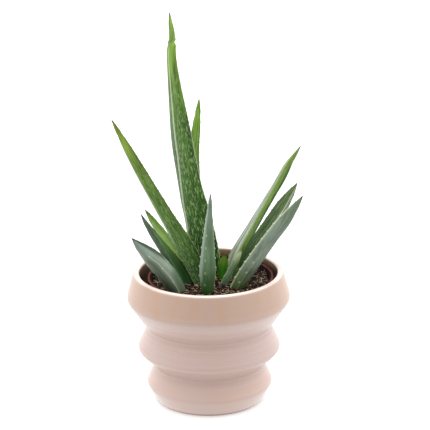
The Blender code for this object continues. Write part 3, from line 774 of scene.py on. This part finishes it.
def tooth_at(leaf, teeth, distance):
    """How far the margin stands out at a distance."""
    height = 0.0
    for place in teeth:
        nearness = 1 - abs(distance - place) / TOOTH_HALF_BASE
        if nearness > 0:
            size = leaf.teeth * TOOTH_HEIGHT * min(1.0, TOOTH_SMALLEST + (1 - place / leaf.length))
            height = max(height, size * nearness ** TOOTH_CURVE)
    return height


def ring_distances(leaf, teeth):
    """Even steps along the leaf, and finer ones through each tooth."""
    steps = ceil(leaf.length / RING_STEP)
    even = [leaf.length * k / steps for k in range(steps)]
    places = [d for d in even if all(abs(d - place) > TOOTH_HALF_BASE for place in teeth)]
    for place in teeth:
        places += [place + TOOTH_HALF_BASE * share for share in TOOTH_STEPS]
    return [d for d in sorted(places) if d < leaf.length * LAST_RING]


def leaf_mesh(name, leaf):
    """Fine mesh of a leaf, with two readings at each point for its material.

    place holds (across, along, upper), the first two in metres. form holds (across, along, tooth) as shares.
    """
    teeth = tooth_places(leaf)
    points, faces, place, form = [], [], [], []
    distances = ring_distances(leaf, teeth)
    level = STEM_TOP + GAP
    root_direction = leaf.frame(0.0)[1]
    for distance in distances:
        tooth = tooth_at(leaf, teeth, distance)
        half = leaf.width(distance) / 2
        for point, across, upper in leaf.section(distance, tooth):
            if distance == 0.0:
                point = point + root_direction * (level - point.z) / root_direction.z
            points.append(point)
            place.append((across * half, distance, upper))
            form.append((across, distance / leaf.length, tooth / TOOTH_HEIGHT if abs(across) > 0.97 else 0.0))
    count = UPPER_POINTS + LOWER_POINTS
    for ring in range(len(distances) - 1):
        first = ring * count
        for k in range(count):
            n = (k + 1) % count
            faces.append((first + k, first + n, first + count + n, first + count + k))
    faces.append(tuple(range(count)))
    last = (len(distances) - 1) * count
    points.append(leaf.points[-1])
    place.append((0.0, leaf.length, 0.5))
    form.append((0.0, 1.0, 0.0))
    for k in range(count):
        faces.append((last + k, last + (k + 1) % count, len(points) - 1))
    mesh_data = bpy.data.meshes.new(name)
    mesh_data.from_pydata(points, [], faces)
    for key, values in (("place", place), ("form", form)):
        layer = mesh_data.attributes.new(key, "FLOAT_VECTOR", "POINT")
        layer.data.foreach_set("vector", [number for triple in values for number in triple])
    bm = bmesh.new()
    bm.from_mesh(mesh_data)
    bmesh.ops.recalc_face_normals(bm, faces=bm.faces)
    bm.to_mesh(mesh_data)
    bm.free()
    mesh_data.shade_smooth()
    return mesh_data


def three_colors(t, share, colors):
    """Colour along the leaf from base, middle and tip."""
    base, middle, tip = colors
    return t.mix(t.ramp(share, 0.55, 1.0), t.mix(t.ramp(share, 0.05, 0.5), base, middle), tip)


def by_side(t, upper, pair):
    """The first value on the upper side, the second on the lower."""
    return t.ramp(upper, 0.0, 1.0, pair[1], pair[0])


def flecks(t, across, along, scale, offset):
    """Long pale cells at random places, from 0 to 1."""
    wander = t.vector(t.times(across, FLECK_WARP[0]), t.times(along, FLECK_WARP[1]), offset)
    cell = t.vector(t.plus(t.times(across, FLECKS[0] * scale), t.noise(wander, 1.0, 1.0)),
                    t.plus(t.times(along, FLECKS[1] * scale), offset))
    near, tint = t.cells(cell, flat=True)
    size = t.ramp(t.red(tint), 0.15, 1.0, 0.0, 0.42)
    return t.ramp(t.minus(size, near), -0.04, 0.12)


def add_line(t, color, form, upper, side, centre, half, tint, amount, start, end):
    """A tinted band along one side of the leaf, between two shares of its length."""
    over, share = form
    band = t.ramp(t.math("ABSOLUTE", t.minus(over, centre)), 0.25 * half, half, amount, 0.0)
    for place, before, after in ((start, 0.0, 1.0), (end, 1.0, 0.0)):
        band = t.times(band, t.ramp(share, place - LINE_FADE, place + LINE_FADE, before, after))
    shown = by_side(t, upper, (1.0, 0.0) if side == "upper" else (0.0, 1.0))
    return t.mix(t.times(band, shown), color, tint)


def add_row(t, color, across, along, upper, length, offset, first, spacing, last):
    """A row of small pale spots along the lower side."""
    wander = t.noise(t.vector(0.0, t.times(along, 110.0), first * 1000), 1.0, 1.0)
    aside = t.plus(t.minus(across, offset - ROW_WANDER / 2), t.times(wander, -ROW_WANDER))
    ahead = t.math("PINGPONG", t.minus(along, first), spacing / 2)
    apart = t.node("ShaderNodeVectorMath", {0: t.scaled(t.vector(aside, ahead), *SPOTS, 0.0)}, "Value",
                   operation="LENGTH")
    spot = t.times(t.ramp(apart, 0.4, 1.2, 0.65, 0.0), by_side(t, upper, (0.0, 1.0)))
    spot = t.times(spot, t.math("LESS_THAN", along, last * length))
    return t.mix(spot, color, (200, 214, 172))


def leaf_material(name, length, seed):
    look = {**BASIC_LOOK, **LOOKS[name]}
    t = Tree(name)
    across, along, upper = t.attribute("place")
    over, share, tooth = t.attribute("form")
    offset = 7.3 * seed
    color = t.mix(upper, three_colors(t, share, look["lower"]), three_colors(t, share, look["upper"]))

    # Long streaks and soft blotches, darker and lighter
    metric = t.vector(across, along, offset)
    streak = t.noise(t.scaled(metric, *STREAKS, 1.0), 1.0, 3.0, 0.6)
    blotch = t.noise(t.scaled(metric, *BLOTCHES, 1.0))
    wave = t.times(t.ramp(streak, 0.30, 0.70, -1.0, 1.0), by_side(t, upper, look["veins"]))
    wave = t.plus(wave, t.ramp(blotch, 0.30, 0.70, -0.14, 0.14))
    color = t.mix(1.0, color, t.plus(wave, 1.0), "MULTIPLY")

    # Waxy film, broken by the blotches
    film = t.times(by_side(t, upper, look["bloom"]), t.ramp(blotch, 0.30, 0.70, 0.3, 1.0))
    color = t.mix(t.times(film, t.ramp(share, 0.10, 0.40)), color, look["film"])

    # Pale flecks of two sizes, fewer towards the tip
    coarse = flecks(t, across, along, look["grain"], offset)
    fine = flecks(t, across, along, 1.6 * look["grain"], offset + 3.1)
    fleck = t.math("MAXIMUM", t.times(coarse, 0.85), t.times(fine, 0.50))
    fleck = t.times(fleck, by_side(t, upper, look["flecks"]))
    fleck = t.times(fleck, t.ramp(share, look["fade"] - 0.20, look["fade"] + 0.10, 1.0, 0.0))
    color = t.mix(fleck, color, look["fleck"])

    # Bands, rows of spots, margins, teeth and the dry point
    for line in look["lines"]:
        color = add_line(t, color, (over, share), upper, *line)
    for row in look["rows"]:
        color = add_row(t, color, across, along, upper, length, *row)
    pale, amount = look["margin"]
    color = t.mix(t.ramp(t.math("ABSOLUTE", over), 0.955, 0.99, 0.0, amount), color, pale)
    color = t.mix(t.ramp(tooth, 0.1, 0.5, 0.0, look["tooth"]), color, (228, 230, 205))
    tip_color, tip_length = look["point"]
    tip = t.ramp(along, length - tip_length, length - 0.3 * tip_length, 0.0, 0.8)
    color = t.mix(tip, color, tip_color)

    t.bump(t.plus(t.times(streak, 0.5), t.times(fleck, 0.3)), 0.25, 0.0003)
    return t.finish(color, t.ramp(streak, 0.3, 0.7, 0.38, 0.52), 0.22)


def build_leaves():
    for seed, (name, spec) in enumerate(LEAVES.items(), 1):
        leaf = Leaf(**spec)
        mesh_data = leaf_mesh(f"{name}_fine", leaf)
        piece(f"{name}_fine", mesh_data, leaf_material(name, leaf.length, seed), name)


# Soil

def crumb_height(x, y):
    """Soil surface with crumbs: rounded cells of two sizes."""
    level = soil_height(x, y)
    for size, height in (SOIL_CRUMB, SOIL_GRIT):
        distances, _ = noise.voronoi(Vector((x, y, 0.0)) / size)
        level += height * (0.5 - min(distances[0], 1.0))
    return level


def soil_material():
    t = Tree("soil")
    place = t.position()
    near, tint = t.cells(place, 520.0)
    chance = t.red(tint)
    fine = t.noise(place, 1600.0, 3.0, 0.6)
    color = t.mix(t.ramp(chance, 0.0, 0.8), (26, 15, 11), (54, 34, 26))
    color = t.mix(t.ramp(chance, 0.88, 0.94, 0.0, 0.7), color, (140, 108, 78))
    color = t.mix(t.ramp(fine, 0.60, 0.78, 0.0, 0.6), color, (120, 92, 70))
    # Painted shade in the gaps between crumbs, dark where the cells meet
    color = t.mix(t.ramp(near, 0.3, 0.65, 0.0, 0.7), color, (12, 7, 5))
    t.bump(t.minus(fine, near), 0.8, 0.0008)
    return t.finish(color, 0.9, 0.25)


def build_soil():
    """One closed form: rings of points over the surface, then the wall and floor that the pot hides."""
    floor = NURSERY_BASE + NURSERY_WALL + GAP
    edge = nursery_radius(SOIL_LEVEL - SOIL_SLOPE * NURSERY_TOP_RADIUS) - NURSERY_WALL - 2 * GAP
    low = nursery_radius(floor) - NURSERY_WALL - 2 * GAP
    bm = bmesh.new()
    rings = [[bm.verts.new((*NURSERY_CENTRE, crumb_height(*NURSERY_CENTRE)))]]
    for ring in range(1, SOIL_RINGS + 1):
        places = circle(NURSERY_CENTRE, edge * ring / SOIL_RINGS, SOIL_SEGMENTS, 0.5 * (ring % 2))
        rings.append([bm.verts.new((*place, crumb_height(*place))) for place in places])
    rings.append([bm.verts.new((*place, floor)) for place in circle(NURSERY_CENTRE, low, SOIL_SEGMENTS)])
    skin(bm, rings)
    piece("soil_fine", finished_mesh("soil_fine", bm, 60), soil_material(), "soil")


def scatter(rng, count):
    """Random places on the soil, the same on every run."""
    edge = nursery_radius(SOIL_LEVEL) - NURSERY_WALL - 0.002
    places = []
    while len(places) < count:
        x, y = rng.uniform(-edge, edge), rng.uniform(-edge, edge)
        if hypot(x, y) < edge:
            places.append((NURSERY_CENTRE[0] + x, NURSERY_CENTRE[1] + y))
    return places


def add_lump(bm, rng, centre, size, flat, rough):
    """An irregular lump: a small icosphere, squashed, turned and dented at random."""
    turn = Euler((rng.uniform(0, pi), rng.uniform(0, pi), rng.uniform(0, pi))).to_matrix()
    made = bmesh.ops.create_icosphere(bm, subdivisions=1, radius=1.0)["verts"]
    stretch = Vector((rng.uniform(0.7, 1.2), rng.uniform(0.6, 1.0), rng.uniform(0.5, 0.9)))
    for vert in made:
        point = vert.co * (1 + rng.uniform(-rough, rough))
        point = turn @ Vector(a * b for a, b in zip(point, stretch))
        point.z *= flat
        vert.co = centre + point * size


def lumps(name, finish, seed, count, sizes, flat, rough):
    """Loose lumps on the soil, a third of their height sunk into it."""
    rng = random.Random(seed)
    bm = bmesh.new()
    for x, y in scatter(rng, count):
        size = rng.uniform(*sizes)
        add_lump(bm, rng, Vector((x, y, soil_height(x, y) + size * 0.35 * flat)), size, flat, rough)
    piece(name, finished_mesh(name, bm, 30), finish)


def grain_material(name, first, second, third, scale, roughness=0.85):
    """Each grain has its own shade, by the cell that it lies in."""
    t = Tree(name)
    place = t.position()
    _, tint = t.cells(place, scale)
    chance = t.red(tint)
    color = t.mix(t.ramp(chance, 0.1, 0.5), first, second)
    color = t.mix(t.ramp(chance, 0.6, 0.95), color, third)
    fine = t.noise(place, 2600.0)
    color = t.mix(t.ramp(fine, 0.35, 0.6, 0.35, 0.0), color, (25, 15, 10))
    t.bump(fine, 0.4, 0.0003)
    return t.finish(color, roughness, 0.3)


def build_fibres():
    """Shreds of wood and straw: thin curved strips lying on the soil."""
    rng = random.Random(11)
    bm = bmesh.new()
    for x, y in scatter(rng, FIBRES):
        step = rng.uniform(*FIBRE_LENGTHS) / FIBRE_STEPS
        width = rng.uniform(*FIBRE_WIDTHS)
        heading = rng.uniform(0, 2 * pi)
        bend = rng.uniform(-1.2, 1.2)
        rise = rng.uniform(-0.3, 0.55)
        spot = Vector((x, y, soil_height(x, y) + 0.0007))
        up = Vector((0.0, 0.0, width * 0.6))
        rings = []
        for k in range(FIBRE_STEPS + 1):
            direction = Vector((cos(heading), sin(heading), rise * (1 - k / 3)))
            narrowing = 0.4 if k in (0, FIBRE_STEPS) else 1.0
            across = Vector((-sin(heading), cos(heading), 0.0)) * width * narrowing
            rings.append([bm.verts.new(spot + offset) for offset in (across, up, -across, -up)])
            spot = spot + direction * step
            heading += bend / FIBRE_STEPS
        skin(bm, rings)
    finish = grain_material("fibre", (168, 136, 108), (216, 192, 158), (120, 84, 68), 300.0)
    piece("soil_fibres", finished_mesh("soil_fibres", bm), finish)


def build_soil_grains():
    dark = grain_material("crumb", (30, 18, 14), (48, 31, 24), (98, 70, 54), 420.0)
    bark = grain_material("bark", (74, 46, 36), (112, 78, 62), (168, 128, 104), 260.0)
    white = grain_material("perlite", (225, 220, 205), (238, 235, 225), (205, 195, 170), 240.0, 0.75)
    lumps("soil_crumbs", dark, seed=3, count=900, sizes=(0.0006, 0.0019), flat=0.8, rough=0.25)
    lumps("soil_bark", bark, seed=5, count=150, sizes=(0.0007, 0.0020), flat=0.4, rough=0.3)
    lumps("soil_perlite", white, seed=7, count=46, sizes=(0.0005, 0.0012), flat=0.9, rough=0.15)


# Stub and stem

def build_stub():
    """Withered stub with a wrinkled side and a reddish tip."""
    bm = bmesh.new()
    rings = []
    for level in range(STUB_STEPS + 1):
        share = level / STUB_STEPS
        height = STUB_BOTTOM + (STUB_TOP - STUB_BOTTOM) * share
        closing = 1.0 - STUB_ROUNDING * max(0.0, share - STUB_ROUND_FROM)
        radius = STUB_RADIUS * (1.0 - STUB_TAPER * share) * closing
        ring = []
        for k in range(STUB_SIDES):
            angle = 2 * pi * k / STUB_SIDES
            wrinkle = noise.noise(Vector((cos(angle), sin(angle), share * 6)))
            fold = 1 + 0.12 * sin(5 * angle + 3 * share) + 0.10 * wrinkle
            ring.append(bm.verts.new((STUB_PLACE[0] + radius * fold * cos(angle),
                                      STUB_PLACE[1] + radius * fold * sin(angle), height)))
        rings.append(ring)
    skin(bm, rings)
    t = Tree("dried_stub")
    place = t.position()
    rough = t.noise(place, 500.0, 3.0)
    color = t.mix(t.ramp(rough, 0.35, 0.65), (34, 24, 26), (66, 48, 47))
    color = t.mix(t.ramp(t.parts(place)[2], *STUB_RED, 0.0, 0.8), color, (176, 84, 76))
    t.bump(rough, 0.5, 0.0005)
    mesh_data = finished_mesh("dried_stub_fine", bm)
    piece("dried_stub_fine", mesh_data, t.finish(color, 0.75, 0.3), "dried_stub")


def dress_stem():
    """The stem under the soil keeps its solid and gets a bark material."""
    t = Tree("stem_bark")
    rings = t.noise(t.scaled(t.position(), 90.0, 90.0, 700.0), 1.0, 3.0)
    t.bump(rings, 0.5, 0.0006)
    finish = t.finish(t.mix(t.ramp(rings, 0.35, 0.65), (96, 84, 52), (130, 116, 74)), 0.8, 0.3)
    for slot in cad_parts["stem"].material_slots:
        slot.material = finish


# Stage

def build_stage():
    bm = bmesh.new()
    bmesh.ops.create_grid(bm, x_segments=1, y_segments=1, size=FLOOR_SIZE)
    floor = new_object("floor", finished_mesh("floor", bm))
    t = Tree("floor")
    t.put(WHITE, t.shader.inputs["Emission Color"])
    t.put(FLOOR_GLOW, t.shader.inputs["Emission Strength"])
    floor.data.materials.append(t.finish((FLOOR_SHADE, FLOOR_SHADE, FLOOR_SHADE, 1.0), 0.9, 0.2))
    floor.visible_diffuse = False
    floor.visible_glossy = False


def build_world():
    """White studio: dim in front, brighter behind and above. The background itself is plain white."""
    t = Tree("studio", "worlds")
    bpy.context.scene.world = t.owner
    t.tree.nodes.clear()
    _, y, z = t.parts(t.node("ShaderNodeTexCoord", {}, "Generated"))
    level = t.ramp(y, -0.95, 0.45, STUDIO_FRONT, STUDIO_BACK)
    level = t.times(level, t.ramp(y, -0.96, -0.70, STUDIO_DARKEST, 1.0))
    level = t.times(level, t.ramp(z, 0.15, 0.95, 1.0, STUDIO_TOP))
    level = t.times(level, t.ramp(z, -0.35, 0.05, STUDIO_BELOW, 1.0))
    lit = t.node("ShaderNodeBackground", {"Color": WHITE, "Strength": level})
    seen = t.node("ShaderNodeBackground", {"Color": WHITE, "Strength": 1.0})
    camera_ray = t.node("ShaderNodeLightPath", {}, "Is Camera Ray")
    both = t.node("ShaderNodeMixShader", {0: camera_ray, 1: lit, 2: seen})
    t.put(both, t.tree.nodes.new("ShaderNodeOutputWorld").inputs[0])


def add_light(name, place, aim, size, energy):
    data = bpy.data.lights.new(name, "AREA")
    data.size = size
    data.energy = energy
    light = new_object(name, data)
    light.location = place
    light.rotation_euler = (Vector(aim) - Vector(place)).to_track_quat("-Z", "Y").to_euler()


def build_camera():
    data = bpy.data.cameras.new("camera")
    data.lens = CAMERA_LENS
    data.sensor_width = CAMERA_SENSOR
    data.clip_end = CAMERA_REACH
    camera = new_object("camera", data)
    camera.location = CAMERA_PLACE
    pitch, yaw, roll = CAMERA_TURN
    aim = Vector((sin(yaw) * cos(pitch), cos(yaw) * cos(pitch), -sin(pitch)))
    turn = aim.to_track_quat("-Z", "Y").to_matrix() @ Matrix.Rotation(-roll, 3, "Z")
    camera.rotation_euler = turn.to_euler()
    bpy.context.scene.camera = camera


def main():
    bpy.context.scene.view_settings.view_transform = "Standard"
    build_camera()
    build_world()
    build_stage()
    add_light("top", place=(0.0, 0.5, 1.7), aim=(0.0, 0.0, 0.1), size=0.6, energy=12.0)
    build_ceramic_pot()
    build_nursery_pot()
    build_leaves()
    build_soil()
    build_soil_grains()
    build_fibres()
    build_stub()
    dress_stem()


main()
